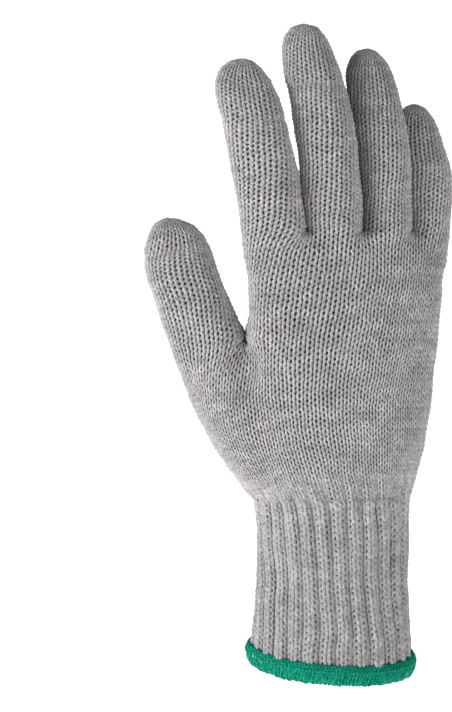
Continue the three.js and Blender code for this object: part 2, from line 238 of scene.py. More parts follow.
def hit(tree, origin, direction):
    place = tree.ray_cast(Vector(origin), Vector(direction))[0]
    return None if place is None else np.array(place)


def middle_at(tree, z, guess):
    """The middle of a tube's level section, found from its sides."""
    x, y = guess
    for _ in range(3):
        left = hit(tree, (-FAR, y, z), (1, 0, 0))
        right = hit(tree, (FAR, y, z), (-1, 0, 0))
        if left is not None and right is not None:
            x = (left[0] + right[0]) / 2
        front = hit(tree, (x, -FAR, z), (0, 1, 0))
        back = hit(tree, (x, FAR, z), (0, -1, 0))
        if front is not None and back is not None:
            y = (front[1] + back[1]) / 2
    return x, y


def ring_round(tree, middle, count, turn=0.0, slope=0.0):
    """Points round a tube, from the -X side along the front to +X and back behind.

    They lie on a plane that rises to +X by the slope."""
    ring = np.empty((count, 3))
    for i in range(count):
        angle = math.pi + (i + 0.5) * 2 * math.pi / count + turn
        away = np.array([math.cos(angle), math.sin(angle), slope * math.cos(angle)])
        place = hit(tree, middle + FAR * away, -away)
        ring[i] = middle if place is None else place
    return ring


def digit_rows(tree, bottom, top, guess, count, course, spiral, slope):
    """Rings of stitches from a digit's foot to its tip, evenly spaced and drifting round it."""
    levels = np.linspace(bottom, top - 0.1 * MM, DIGIT_LEVELS)
    middles = []
    radii = []
    for z in levels:
        guess = middle_at(tree, z, guess)
        middle = np.array((*guess, z))
        middles.append(middle)
        radii.append(np.mean(np.linalg.norm(ring_round(tree, middle, SECTION_POINTS) - middle, axis=1)))
    radii = np.array(radii)
    middles = np.array(middles)
    length = np.concatenate([[0], np.cumsum(np.hypot(np.diff(levels), np.diff(radii)))])
    wide = int(np.argmax(radii))
    end = np.interp(-TIP_RADIUS, -radii[wide:], length[wide:])
    rows = int(round(end / course))
    rings = []
    for station in (np.arange(rows) + 1.0) / rows * end:
        middle = np.array([np.interp(station, length, middles[:, k]) for k in range(3)])
        left_slope = slope * (1 - (station / end) ** 3)
        rings.append(ring_round(tree, middle, count, spiral * station / radii[wide], left_slope))
    return np.array(rings)


def sheet_rows(tree, left, right, count, front):
    """Stitches between two edges of (x, z) pairs, laid onto the front or the back of the hand."""
    shares = (np.arange(count) + 0.5) / count
    if not front:
        shares = shares[::-1]
    rows = np.empty((len(left), count, 3))
    for r in range(len(left)):
        for i, share in enumerate(shares):
            x = left[r][0] + (right[r][0] - left[r][0]) * share
            z = left[r][1] + (right[r][1] - left[r][1]) * share
            side = -1 if front else 1
            place = hit(tree, (x, side * FAR, z), (0, -side, 0))
            rows[r, i] = (x, 0, z) if place is None else place
    return rows


def stitch_width(places):
    """The width that a stitch tends to. The back of the hand is stretched, most along its middle."""
    x, y = places[:, :1], places[:, 1:2]
    front = np.clip(-y / SIDE_DEPTH, -1, 1)
    near = np.exp(-(((x - STRETCH_MIDDLE) / STRETCH_REACH) ** 2))
    return STITCH_WIDTH * (1 + FRONT_STRETCH * front * (near - STRETCH_LEVEL))


class Grid:
    """All the stitches above the wrist: places, neighbours and which of them stay where they are."""

    def __init__(self):
        self.parts = {}
        self.places = []
        self.count = 0

    def add(self, name, rows, tree, course):
        r, w, _ = rows.shape
        index = self.count + np.arange(r * w).reshape(r, w)
        self.parts[name] = {"index": index, "tree": tree, "course": course}
        self.places.append(rows.reshape(-1, 3))
        self.count += r * w
        return index

    def link(self):
        self.pos = np.vstack(self.places)
        n = self.count
        self.up = np.full(n, -1)
        self.down = np.full(n, -1)
        self.left = np.empty(n, dtype=int)
        self.right = np.empty(n, dtype=int)
        self.fixed = np.zeros(n, dtype=bool)
        self.course = np.empty(n)
        for part in self.parts.values():
            index = part["index"]
            self.up[index[:-1]] = index[1:]
            self.down[index[1:]] = index[:-1]
            self.right[index] = np.roll(index, -1, axis=1)
            self.left[index] = np.roll(index, 1, axis=1)
            self.course[index] = part["course"]

    def join(self, lower, upper):
        """The upper row's stitches grow out of the lower ones."""
        self.up[lower] = upper
        self.down[upper] = lower

    def relax(self, steps):
        """Evens the stitches out on the surface, as tension does in the real knitting."""
        up_pull = np.where(self.up >= 0, 1 / self.course, 0)[:, None]
        down_pull = np.where(self.down >= 0, 1 / self.course[self.down], 0)[:, None]
        widths = np.full((self.count, 1), STITCH_WIDTH)
        for name in ("heel", "palm"):
            index = self.parts[name]["index"].ravel()
            widths[index] = stitch_width(self.pos[index])
        right_pull = 1 / widths
        left_pull = right_pull[self.left]
        total = up_pull + down_pull + left_pull + right_pull
        free = ~self.fixed[:, None]
        before = self.pos.copy()
        load = np.exp(-(((self.pos[:, 2] - PULL_MIDDLE) / PULL_REACH) ** 2))
        load = load * np.clip(-self.pos[:, 1] / SIDE_DEPTH, 0, 1)
        for step in range(steps):
            pulled = up_pull * self.pos[self.up] + down_pull * self.pos[self.down]
            pulled += left_pull * self.pos[self.left] + right_pull * self.pos[self.right]
            moved = self.pos + PULL_SHARE * (pulled / total - self.pos) + MOMENTUM * (self.pos - before)
            moved[:, 0] -= SIDE_PULL * load
            before = self.pos
            self.pos = np.where(free, moved, self.pos)
            if step % 2:
                self.project()

    def project(self):
        for part in self.parts.values():
            find = part["tree"].find_nearest
            for i in part["index"].ravel():
                if not self.fixed[i]:
                    self.pos[i] = find(self.pos[i].tolist())[0]

    def smooth(self, steps):
        """Takes the CAD's facets out without shrinking the tubes."""
        up = np.where(self.up >= 0, self.up, np.arange(self.count))
        down = np.where(self.down >= 0, self.down, np.arange(self.count))
        for _ in range(steps):
            for share in SMOOTH_SHARES:
                mean = (self.pos[up] + self.pos[down] + self.pos[self.left] + self.pos[self.right]) / 4
                moved = self.pos + share * (mean - self.pos)
                moved[self.fixed] = self.pos[self.fixed]
                self.pos = moved

    def directions(self):
        """At each stitch, the step of a course upwards and the normal out of the glove."""
        here = np.arange(self.count)
        above = np.where(self.up >= 0, self.up, here)
        below = np.where(self.down >= 0, self.down, here)
        spans = (self.up >= 0).astype(float) + (self.down >= 0)
        upward = (self.pos[above] - self.pos[below]) / spans[:, None]
        length = np.linalg.norm(upward, axis=1)
        upward *= np.minimum(1, MOST_STRETCH * self.course / length)[:, None]
        across = (self.pos[self.right] - self.pos[self.left]) / 2
        normal = unit(np.cross(across, upward))
        for _ in range(2):
            around = normal[self.left] + normal[self.right] + normal[above] + normal[below]
            normal = unit(normal + around / 4)
        return upward, normal


def unit(vectors):
    return vectors / np.maximum(np.linalg.norm(vectors, axis=-1, keepdims=True), 1e-12)


def periodic_cubic(values, s):
    """Rows of values round closed rings, read at fractional places s with a smooth curve."""
    count = values.shape[1]
    base = np.floor(s).astype(int)
    t = (s - base)[..., None]
    rows = np.arange(values.shape[0])[:, None]
    p0, p1, p2, p3 = (values[rows, (base + k) % count] for k in (-1, 0, 1, 2))
    return p1 + 0.5 * t * (p2 - p0 + t * (2 * p0 - 5 * p1 + 4 * p2 - p3 + t * (3 * (p1 - p2) + p3 - p0)))


def periodic_linear(values, s):
    count = values.shape[1]
    base = np.floor(s).astype(int)
    t = (s - base)[..., None]
    rows = np.arange(values.shape[0])[:, None]
    return values[rows, base % count] * (1 - t) + values[rows, (base + 1) % count] * t


def smooth_noise(shape, step):
    """Even noise between -1 and 1 that changes over about step samples along its second axis and wraps."""
    rows, count = shape
    knots = max(2, count // step)
    values = rng.uniform(-1, 1, (rows, knots, 1))
    s = np.tile(np.arange(count) * knots / count, (rows, 1))
    return periodic_cubic(values, s)[..., 0]


def patch_noise(rows, count, row_step, step):
    """Noise between -1 and 1 that changes smoothly both ways and wraps along the second axis."""
    knots = rows // row_step + 3
    lines = smooth_noise((knots, count), step)
    at = np.arange(rows) / row_step
    base = at.astype(int)
    t = (at - base)[:, None]
    blend = t * t * (3 - 2 * t)
    return lines[base] * (1 - blend) + lines[base + 1] * blend


def rib_warp(s, fade):
    """Places round the ring, moved by fade (0 to 1) so that raised stitches widen and sunk ones narrow."""
    rib = np.floor((s + 0.5) / RIB_WALES)
    inside = s + 0.5 - rib * RIB_WALES
    warped = np.interp(inside, [0, 2, RIB_WALES], [0, 2 * RAISED_WIDTH, RIB_WALES]) + rib * RIB_WALES - 0.5
    return s + fade * (warped - s)


def rib_sink(s):
    """How far a warped place lies in a groove, from 0 on a rib to 1 in the groove's middle."""
    groove = RAISED_WIDTH + RIB_WALES / 2 - 0.5
    wave = 0.5 + 0.5 * np.cos(2 * math.pi * (s - groove) / RIB_WALES)
    return wave ** GROOVE_POWER


def neighbour_painted_shadow(name, places):
    """How light each stitch stays: painted shadow, darkest near the neighbouring finger."""
    shade = np.ones(places.shape[:2])
    if name in NEIGHBOURS:
        neighbour, strength = NEIGHBOURS[name]
        find = tree_of([outside_of(frame["nodes"][neighbour])]).find_nearest
        gaps = np.array([find(place.tolist())[3] for place in places.reshape(-1, 3)]).reshape(shade.shape)
        shade -= strength * np.exp(-((gaps / SHADE_REACH) ** 2))
    return shade


def loop_paths(places, upward, normal, fade):
    """The yarn's middle line, the surface's normal and the yarn's radius along each course.

    places, upward and normal have a row for each course, and fade says how far the ribs have faded in."""
    rows, wales, _ = places.shape
    samples = wales * POINTS_PER_STITCH
    along = np.arange(samples) / POINTS_PER_STITCH
    stitch = np.round(along)
    t = 2 * math.pi * (along - stitch)
    bulge = LOOP_BULGE * (1 + BULGE_NOISE * smooth_noise((rows, samples), POINTS_PER_STITCH))
    drift = PLACE_NOISE * smooth_noise((rows, samples), 2 * POINTS_PER_STITCH)
    fade = fade[:, None]
    s = rib_warp(along + bulge * np.sin(2 * t) + drift, fade)
    uneven = 1 + GROOVE_NOISE * patch_noise(rows, samples, 6, 3 * POINTS_PER_STITCH)
    sink = rib_sink(s) * fade * uneven
    span = np.roll(places, -1, axis=1) - np.roll(places, 1, axis=1)
    width = np.linalg.norm(span, axis=2, keepdims=True) / 2
    room = (periodic_linear(width, s)[..., 0] / FULL_WIDTH) ** CROWDING
    room = room * (1 + (RIB_FULLNESS - 1) * fade * (1 - sink))
    reach = LOOP_REACH * (1 + REACH_NOISE * smooth_noise((rows, samples), POINTS_PER_STITCH))
    rise = -reach * np.cos(t)
    arch = LEG_ARCH * np.abs(np.sin(t)) ** 3 - HEAD_DEPTH
    depth = LEG_DEPTH * (1 - RIB_FLATNESS * fade) * room * arch
    depth = depth * (1 + DEPTH_NOISE * smooth_noise((rows, samples), POINTS_PER_STITCH))
    depth = depth - GROOVE_DEPTH * sink
    way_out = unit(periodic_linear(normal, s))
    path = periodic_cubic(places, s) + rise[..., None] * periodic_linear(upward, s)
    return path + depth[..., None] * way_out, way_out, YARN_RADIUS * room


def tube_mesh(name, path, way_out, radius, shade=None):
    """A mesh of closed yarn rings along the rows of path, with a tone for each vertex."""
    rows, samples, _ = path.shape
    tangent = unit(np.roll(path, -1, axis=1) - np.roll(path, 1, axis=1))
    across = unit(np.cross(tangent, way_out))
    out = unit(np.cross(across, tangent))
    thick = 1
    for share, length in THICKNESS_NOISE:
        thick = thick + share * smooth_noise((rows, samples), length)
    turn = 2 * math.pi * np.arange(YARN_SIDES) / YARN_SIDES
    ring = np.cos(turn)[:, None] * across[:, :, None, :] + np.sin(turn)[:, None] * out[:, :, None, :]
    points = path[:, :, None, :] + (radius * thick)[:, :, None, None] * ring
    number = np.arange(rows * samples * YARN_SIDES).reshape(rows, samples, YARN_SIDES)
    beside = np.roll(number, -1, axis=1)
    corners = (number, beside, np.roll(beside, -1, axis=2), np.roll(number, -1, axis=2))
    tone = 0.5
    for share, length in TONE_NOISE:
        tone = tone + share * smooth_noise((rows, samples), length)
    # The shade darkens the yarn's tone: painted shadow beside a neighbouring finger, and the darker cuff.
    if shade is not None:
        along = np.tile(np.arange(samples) / POINTS_PER_STITCH, (rows, 1))
        tone = (tone + TONE_BASE) * periodic_linear(shade[..., None], along)[..., 0] - TONE_BASE
    tone = np.repeat(tone[:, :, None], YARN_SIDES, axis=2)
    u = np.broadcast_to((np.arange(samples) / POINTS_PER_STITCH)[None, :, None], number.shape)
    v = np.broadcast_to((np.arange(YARN_SIDES) / YARN_SIDES)[None, None, :], number.shape)
    next_u = u + 1 / POINTS_PER_STITCH
    next_v = v + 1 / YARN_SIDES
    places = ((u, v), (next_u, v), (next_u, next_v), (u, next_v))
    uv = np.stack([np.stack(place, -1) for place in places], axis=-2)
    faces = np.stack(corners, axis=-1).reshape(-1, 4)
    return quad_mesh(name, points.reshape(-1, 3), faces, tone.ravel(), uv.reshape(-1, 2))


def quad_mesh(name, points, faces, tone=None, uv=None):
    mesh = bpy.data.meshes.new(name)
    mesh.vertices.add(len(points))
    mesh.vertices.foreach_set("co", points.astype(np.float32).ravel())
    mesh.loops.add(faces.size)
    mesh.loops.foreach_set("vertex_index", faces.astype(np.int32).ravel())
    mesh.polygons.add(len(faces))
    starts = np.arange(0, faces.size, faces.shape[1], dtype=np.int32)
    mesh.polygons.foreach_set("loop_start", starts)
    mesh.update(calc_edges=True)
    mesh.polygons.foreach_set("use_smooth", np.ones(len(faces), dtype=bool))
    if tone is not None:
        attribute = mesh.attributes.new("tone", "FLOAT", "POINT")
        attribute.data.foreach_set("value", tone.astype(np.float32))
    if uv is not None:
        layer = mesh.uv_layers.new(name="yarn")
        layer.data.foreach_set("uv", uv.astype(np.float32).ravel())
    piece = bpy.data.objects.new(name, mesh)
    bpy.context.scene.collection.objects.link(piece)
    return piece


def finish_piece(piece, material, nodes=()):
    piece.data.materials.append(material)
    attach(piece, "root")
    if nodes:
        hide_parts(*nodes)
    return piece


def away_at(angles):
    """Level directions out of the glove's axis."""
    return np.stack([np.cos(angles), np.sin(angles), np.zeros_like(angles)], axis=-1)


def cuff_rings(tree, bottom_of, top, count):
    """Rings of the cuff's rib crests from the hem to the wrist, with stitches evenly spaced round each."""
    height = top - bottom_of(0.0)
    rows = int(round(height / CUFF_COURSE))
    wander = RIB_WANDER * patch_noise(rows, count, 7, 2 * RIB_WALES)
    rings = []
    for r in range(rows):
        share = r / (rows - 1)
        points = []
        for i in range(CUFF_POINTS):
            angle = math.pi + (i + 0.5) * 2 * math.pi / CUFF_POINTS
            away = away_at(angle)
            start = FAR * away
            low = bottom_of(angle)
            start[2] = low + (top - low) * share
            points.append(hit(tree, start, -away))
        points = np.array(points)
        radius = np.hypot(points[:, 0], points[:, 1])
        crest = np.max([np.roll(radius, k) for k in range(-CREST_POINTS, CREST_POINTS + 1)], axis=0)
        even = np.mean([np.roll(crest, k) for k in range(-EVEN_POINTS, EVEN_POINTS + 1)], axis=0)
        points[:, :2] *= (even / radius)[:, None]
        gaps = np.linalg.norm(np.roll(points, -1, axis=0) - points, axis=1)
        length = np.concatenate([[0], np.cumsum(gaps)])
        closed = np.vstack([points, points[:1]])
        shift = WRIST_SHIFT + CUFF_LEAN * (1 - share) * height + wander[r]
        at = np.mod((np.arange(count) + 0.5) / count * length[-1] + shift, length[-1])
        rings.append(np.stack([np.interp(at, length, closed[:, k]) for k in range(3)], axis=1))
    return np.array(rings)


def hem_places(node):
    """The hem ring's middle line as a function of the angle, with its half thickness and half height."""
    points, faces = points_and_faces(node)
    tree = tree_of([(points, faces)])
    flat = np.column_stack([np.ones(len(points)), points[:, 0], points[:, 1]])
    slope = np.linalg.lstsq(flat, points[:, 2], rcond=None)[0]
    half_high = np.max(np.abs(points[:, 2] - flat @ slope))
    centres = np.empty((HEM_STATIONS, 3))
    thickness = []
    for k in range(HEM_STATIONS):
        away = away_at(2 * math.pi * k / HEM_STATIONS)
        near = HEM_RADIUS * away
        level = np.array([0, 0, slope @ (1, near[0], near[1])])
        outer = hit(tree, level + FAR * away, -away)
        inner = hit(tree, level, away)
        centres[k] = (outer + inner) / 2
        centres[k, 2] = slope @ (1, centres[k, 0], centres[k, 1])
        thickness.append(np.linalg.norm(outer - inner))
    half_thick = np.mean(thickness) / 2

    def place(angles):
        s = np.mod(np.asarray(angles) / (2 * math.pi) * HEM_STATIONS, HEM_STATIONS)
        return periodic_cubic(centres[None], s.reshape(1, -1))[0]

    return place, half_thick, half_high


# Materials

# Colours at places of a ramp, from dark to light.
FIBRE_GREYS = ((0.32, (0.26, 0.255, 0.258)), (0.5, (0.4, 0.392, 0.396)), (0.68, (0.56, 0.552, 0.556)))
YARN_SHADES = ((0.0, (0, 0, 0)), (1.0, (1.08, 1.075, 1.07)))
PATCH_SHADES = ((0.35, (0.965, 0.98, 0.98)), (0.65, (1.005, 0.985, 0.985)))
FLECKS = ((11.0, (0.6, 0.22, 0.22)), (23.0, (0.2, 0.28, 0.45)), (37.0, (0.7, 0.42, 0.3)))  # shift, colour
FLECK_MASK = ((0.74, (0, 0, 0)), (0.78, (0.45, 0.45, 0.45)))
TWIST = (1.6, 0.64, 1)  # of the plies, along and round the yarn
# The reverse's greys are painted shade for the holes between the loops, lighter in the cuff's ribs.
REVERSE_PAINTED_SHADE = ((0.3, (0.035, 0.034, 0.036)), (0.7, (0.12, 0.118, 0.12)))
REVERSE_SHADE_IN_RIBS = (0.24, 0.237, 0.24)
REVERSE_FADE = 30 * MM  # above the wrist
THREAD_GREENS = ((0.33, (0.0, 0.115, 0.065)), (0.52, (0.001, 0.235, 0.147)), (0.7, (0.015, 0.36, 0.25)))
PALE_SPOTS = ((0.68, (0, 0, 0)), (0.74, (0.7, 0.7, 0.7)))
PALE_GREEN = (0.45, 0.75, 0.65)


def add(tree, kind, **settings):
    node = tree.nodes.new(kind)
    for key, value in settings.items():
        setattr(node, key, value)
    return node


def set_inputs(node, **values):
    for key, value in values.items():
        node.inputs[key.replace("_", " ")].default_value = value


def noise(tree, coordinates, scale, detail=2.0, roughness=0.5):
    node = add(tree, "ShaderNodeTexNoise")
    set_inputs(node, Scale=scale, Detail=detail, Roughness=roughness)
    tree.links.new(coordinates, node.inputs["Vector"])
    return node.outputs["Fac"]


def ramp(tree, value, stops):
    node = add(tree, "ShaderNodeValToRGB")
    elements = node.color_ramp.elements
    while len(elements) < len(stops):
        elements.new(0.5)
    for element, (place, color) in zip(elements, stops):
        element.position = place
        element.color = (*color, 1)
    tree.links.new(value, node.inputs["Fac"])
    return node.outputs["Color"]


def share_between(tree, value, low, high):
    """0 where the value is low and 1 where it is high."""
    node = add(tree, "ShaderNodeMapRange")
    set_inputs(node, From_Min=low, From_Max=high, To_Min=0.0, To_Max=1.0)
    tree.links.new(value, node.inputs["Value"])
    return node.outputs[0]


def mix(tree, share, first, second, blend="MIX"):
    node = add(tree, "ShaderNodeMix", data_type="RGBA", blend_type=blend)
    for socket, value in ((node.inputs[0], share), (node.inputs[6], first), (node.inputs[7], second)):
        if isinstance(value, bpy.types.NodeSocket):
            tree.links.new(value, socket)
        elif isinstance(value, (int, float)):
            socket.default_value = value
        else:
            socket.default_value = (*value, 1)
    return node.outputs[2]


def cloth_material(name, roughness=0.95, sheen=0.2):
    material = bpy.data.materials.new(name)
    material.use_nodes = True
    tree = material.node_tree
    surface = tree.nodes["Principled BSDF"]
    set_inputs(surface, Roughness=roughness, Specular_IOR_Level=0.15)
    set_inputs(surface, Sheen_Weight=sheen, Sheen_Roughness=0.6)
    coordinates = add(tree, "ShaderNodeTexCoord").outputs["Object"]
    return material, tree, surface, coordinates


def add_bump(tree, surface, height, strength, distance):
    bump = add(tree, "ShaderNodeBump")
    set_inputs(bump, Strength=strength, Distance=distance)
    tree.links.new(height, bump.inputs["Height"])
    tree.links.new(bump.outputs["Normal"], surface.inputs["Normal"])


def flecks(tree, at, shift):
    """A mask of small spots, in other places for another shift."""
    shifted = add(tree, "ShaderNodeVectorMath", operation="ADD")
    shifted.inputs[1].default_value = (shift, shift, shift)
    tree.links.new(at, shifted.inputs[0])
    return ramp(tree, noise(tree, shifted.outputs["Vector"], 230), FLECK_MASK)


def plies(tree):
    """The height of the plies that are twisted into the yarn."""
    stretch = add(tree, "ShaderNodeVectorMath", operation="MULTIPLY")
    stretch.inputs[1].default_value = TWIST
    tree.links.new(add(tree, "ShaderNodeUVMap", uv_map="yarn").outputs["UV"], stretch.inputs[0])
    twist = add(tree, "ShaderNodeTexWave", wave_type="BANDS", bands_direction="DIAGONAL")
    set_inputs(twist, Scale=1.0, Distortion=1.5, Detail=2.0)
    tree.links.new(stretch.outputs["Vector"], twist.inputs["Vector"])
    return twist.outputs["Color"]


def yarn_material():
    """Grey cotton spun from light and dark fibres, with a few coloured ones."""
    material, tree, surface, at = cloth_material("grey_yarn")
    grey = ramp(tree, noise(tree, at, 1100, detail=3, roughness=0.6), FIBRE_GREYS)
    tone = add(tree, "ShaderNodeAttribute", attribute_name="tone").outputs["Fac"]
    shade = ramp(tree, share_between(tree, tone, -TONE_BASE, 1.0), YARN_SHADES)
    color = mix(tree, 1.0, grey, shade, "MULTIPLY")
    color = mix(tree, 1.0, color, ramp(tree, noise(tree, at, 45, detail=1), PATCH_SHADES), "MULTIPLY")
    for shift, tint in FLECKS:
        color = mix(tree, flecks(tree, at, shift), color, tint)
    tree.links.new(color, surface.inputs["Base Color"])
    add_bump(tree, surface, mix(tree, 0.5, plies(tree), noise(tree, at, 2600)), 0.5, 0.25 * MM)
    return material


def backing_shade_material(wrist):
    """The reverse of the knitting: painted shade seen between the loops, and plain inside the glove."""
    material, tree, surface, at = cloth_material("reverse_painted_shade")
    dark = ramp(tree, noise(tree, at, 900, detail=3), REVERSE_PAINTED_SHADE)
    place = add(tree, "ShaderNodeSeparateXYZ")
    tree.links.new(at, place.inputs[0])
    rib_share = share_between(tree, place.outputs["Z"], wrist + REVERSE_FADE, wrist)
    color = mix(tree, rib_share, dark, REVERSE_SHADE_IN_RIBS)
    tree.links.new(color, surface.inputs["Base Color"])
    add_bump(tree, surface, noise(tree, at, 450), 0.6, 0.5 * MM)
    return material


def edging_material():
    """Green thread with a few pale fibres."""
    material, tree, surface, at = cloth_material("green_thread", roughness=0.9, sheen=0.0)
    color = ramp(tree, noise(tree, at, 1300, detail=3), THREAD_GREENS)
    color = mix(tree, ramp(tree, noise(tree, at, 260), PALE_SPOTS), color, PALE_GREEN)
    tree.links.new(color, surface.inputs["Base Color"])
    add_bump(tree, surface, noise(tree, at, 1500), 0.35, 0.2 * MM)
    return material


def floor_material():
    """White, and glowing enough that the floor's edge doesn't show."""
    material = bpy.data.materials.new("pale_floor")
    material.use_nodes = True
    surface = material.node_tree.nodes["Principled BSDF"]
    set_inputs(surface, Base_Color=(0.9, 0.9, 0.9, 1), Roughness=0.9)
    set_inputs(surface, Emission_Color=(1, 1, 1, 1), Emission_Strength=1.0)
    return material


# The stitches


def finger_parts():
    """Each finger's front and back stitches in the palm's ring, and the order of its own ring."""
    start = 0
    for name, (shared, left, right) in FINGERS.items():
        front = np.arange(start, start + shared)
        back = np.arange(PALM_WALES - start - shared, PALM_WALES - start)
        ring_front = np.arange(shared)
        ring_back = shared + right + np.arange(shared)
        yield name, front, back, ring_front, ring_back, 2 * shared + left + right
        start += shared


def hand_marks(outside):
    """The places on the hand that the grid is laid out by."""
    palm_points = outside["palm"][0]
    thumb_points = outside["thumb"][0]
    index_points = outside["index_finger"][0]
    knuckles = palm_points[:, 2].max()
    outer_foot = thumb_points[np.argmin(thumb_points[:, 2])]
    seam = thumb_points[thumb_points[:, 2] < outer_foot[2] + THUMB_FOOT]
    off_index_side = index_points[:, 0] + 10 * np.abs(index_points[:, 2] - knuckles)
    return {
        "wrist": palm_points[:, 2].min(),
        "knuckles": knuckles,
        "outer_foot": outer_foot,
        "fork": seam[np.argmax(seam[:, 0] + FORK_BIAS * seam[:, 2])],
        "index_side": index_points[np.argmin(off_index_side)][0],
    }


def side_at(tree, side, depth, z):
    """Where the hand's edge lies, to the left (-1) or the right (1)."""
    return hit(tree, (side * FAR, depth, z), (-side, 0, 0))[0]


def heel_stitches(tree, marks):
    """Rings from the wrist up to the thumb's seam, which rises from its outer foot to the fork."""
    wrist, fork = marks["wrist"], marks["fork"]
    low = wrist + 0.5 * MM
    wrist_left = side_at(tree, -1, 0, low)
    wrist_right = side_at(tree, 1, 0, low)
    thumb_share = HALF_THUMB / (HALF_THUMB + HALF_PALM)
    middle_x = wrist_left + thumb_share * (wrist_right - wrist_left) + WRIST_SHIFT
    left_edge, middle_edge, right_edge = [], [], []
    for rise in np.linspace(0, 1, int(round((fork[2] - wrist) / PALM_COURSE))):
        left_z = max(low, wrist + rise * (marks["outer_foot"][2] - THUMB_DROP - wrist))
        right_z = max(low, wrist + rise * (fork[2] - wrist))
        left_edge.append((side_at(tree, -1, LEFT_EDGE_DEPTH, left_z) + EDGE_INSET, left_z))
        right_edge.append((side_at(tree, 1, RIGHT_EDGE_DEPTH, right_z) - EDGE_INSET, right_z))
        middle_edge.append((middle_x + rise * (fork[0] - middle_x), right_z))
    return np.concatenate([
        sheet_rows(tree, left_edge, middle_edge, HALF_THUMB, True),
        sheet_rows(tree, middle_edge, right_edge, HALF_PALM, True),
        sheet_rows(tree, middle_edge, right_edge, HALF_PALM, False),
        sheet_rows(tree, left_edge, middle_edge, HALF_THUMB, False),
    ], axis=1)


def palm_stitches(tree, marks):
    """Rings from the fork up to the knuckles."""
    fork, knuckles = marks["fork"], marks["knuckles"]
    rows = int(round((knuckles - fork[2]) / PALM_COURSE))
    foot_x = fork[0] + FORK_INSET
    left_edge, right_edge = [], []
    for rise in (np.arange(rows) + 1) / rows:
        z = fork[2] + rise * (knuckles - fork[2] - EDGE_INSET)
        left_edge.append((foot_x + rise * (marks["index_side"] + EDGE_INSET - foot_x), z))
        right_edge.append((side_at(tree, 1, PALM_EDGE_DEPTH, z) - EDGE_INSET, z))
    return np.concatenate([
        sheet_rows(tree, left_edge, right_edge, HALF_PALM, True),
        sheet_rows(tree, left_edge, right_edge, HALF_PALM, False),
    ], axis=1)


def digit_stitches(name, count, points, tree, marks):
    top = points[:, 2].max()
    bottom = points[:, 2].min() + 0.3 * MM
    kind, course, slope = "finger", FINGER_COURSE, 0.0
    if name == "thumb":
        across, _, up = marks["fork"] - marks["outer_foot"]
        bottom = (marks["fork"][2] + marks["outer_foot"][2]) / 2
        kind, course, slope = "thumb", THUMB_COURSE, up / across
    foot = points[np.abs(points[:, 2] - bottom) < DIGIT_FOOT]
    guess = ((foot[:, 0].min() + foot[:, 0].max()) / 2, (foot[:, 1].min() + foot[:, 1].max()) / 2)
    return digit_rows(tree, bottom, top, guess, count, course, SPIRAL[kind], slope), course


def build_grid():
    """All the stitches above the wrist, with the height of the wrist."""
    nodes = frame["nodes"]
    outside = {name: outside_of(nodes[name]) for name in (*FINGERS, "thumb", "palm")}
    everything = tree_of(list(outside.values()))
    marks = hand_marks(outside)
    grid = Grid()
    heel = grid.add("heel", heel_stitches(everything, marks), everything, PALM_COURSE)
    palm = grid.add("palm", palm_stitches(everything, marks), everything, PALM_COURSE)
    digits = {}
    counts = {name: count for name, *_, count in finger_parts()}
    for name, count in (*counts.items(), ("thumb", THUMB_WALES)):
        rows, course = digit_stitches(name, count, outside[name][0], tree_of([outside[name]]), marks)
        digits[name] = grid.add(name, rows, everything, course)

    grid.link()
    grid.join(heel[-1, HALF_THUMB:HALF_THUMB + PALM_WALES], palm[0])
    thumb_side = np.concatenate([heel[-1, :HALF_THUMB], heel[-1, -HALF_THUMB:]])
    grid.join(thumb_side, digits["thumb"][0])
    for name, front, back, ring_front, ring_back, count in finger_parts():
        first = digits[name][0]
        grid.join(palm[-1, front], first[ring_front])
        grid.join(palm[-1, back], first[ring_back])
        taken_up = np.setdiff1d(np.arange(count), np.concatenate([ring_front, ring_back]))
        grid.fixed[first[taken_up]] = True
    grid.fixed[heel[0]] = True
    for name, index in digits.items():
        grid.fixed[index[-TIP_ROWS["thumb" if name == "thumb" else "finger"]:]] = True
    return grid, marks["wrist"]


def close_gaps(grid):
    """Lets neighbouring digits touch where only a narrow gap parts them, as soft ones do."""
    names = list(FINGERS)
    surfaces = {name: tree_of([outside_of(frame["nodes"][name])]) for name in (*names, "thumb")}
    knuckles = grid.pos[grid.parts["palm"]["index"][-1], 2].mean()
    moved = grid.pos.copy()
    neighbours = (*zip(names, names[1:]), *zip(names[1:], names))
    pairs = [(name, other, TOUCHING_GAP, 0.5) for name, other in neighbours]
    pairs.append(("palm", "thumb", FORK_GAP, 1.0))
    for name, other, touching, share in pairs:
        for i in grid.parts[name]["index"].ravel():
            near, _, _, gap = surfaces[other].find_nearest(grid.pos[i].tolist())
            limit = touching
            if other != "thumb":
                limit *= 1 + math.exp((knuckles - grid.pos[i, 2]) / CROTCH_HEIGHT)
            if gap < 2 * limit:
                pull = min(1, 2 - gap / limit) * share * max(0, gap - YARN_OVERLAP)
                moved[i] += (np.array(near) - grid.pos[i]) / gap * pull
    grid.pos = moved


def wandered(places):
    """Places made uneven, as in soft knitting."""
    moved = places.reshape(-1, 3).copy()
    for far, length in WANDERS:
        for i, place in enumerate(moved):
            moved[i] = place + far * np.array(space_noise.noise_vector(Vector(place / length)))
    return moved.reshape(places.shape)


def pucker(grid):
    """Draws the stitches together at the crotches, where the knitting machine ties them."""
    palm = grid.parts["palm"]["index"]
    thumb = grid.parts["thumb"]["index"]
    fork = (thumb[0, HALF_THUMB - 1], palm[0, 0], palm[0, -1], thumb[0, HALF_THUMB])
    crotches = [(fork, FORK_LIFT)]
    fingers = list(finger_parts())
    for before, after in zip(fingers, fingers[1:]):
        wales = [before[1][-1], after[1][0], before[2][0], after[2][-1]]
        crotches.append((palm[-1, wales], CROTCH_LIFT))
    for stitches, lift in crotches:
        centre = grid.pos[list(stitches)].mean(axis=0) + (0, 0, lift)
        away = centre - grid.pos
        away[:, 1] = 0
        near = np.exp(-((np.linalg.norm(away, axis=1) / PUCKER_REACH) ** 2))
        grid.pos += PUCKER * near[:, None] * away


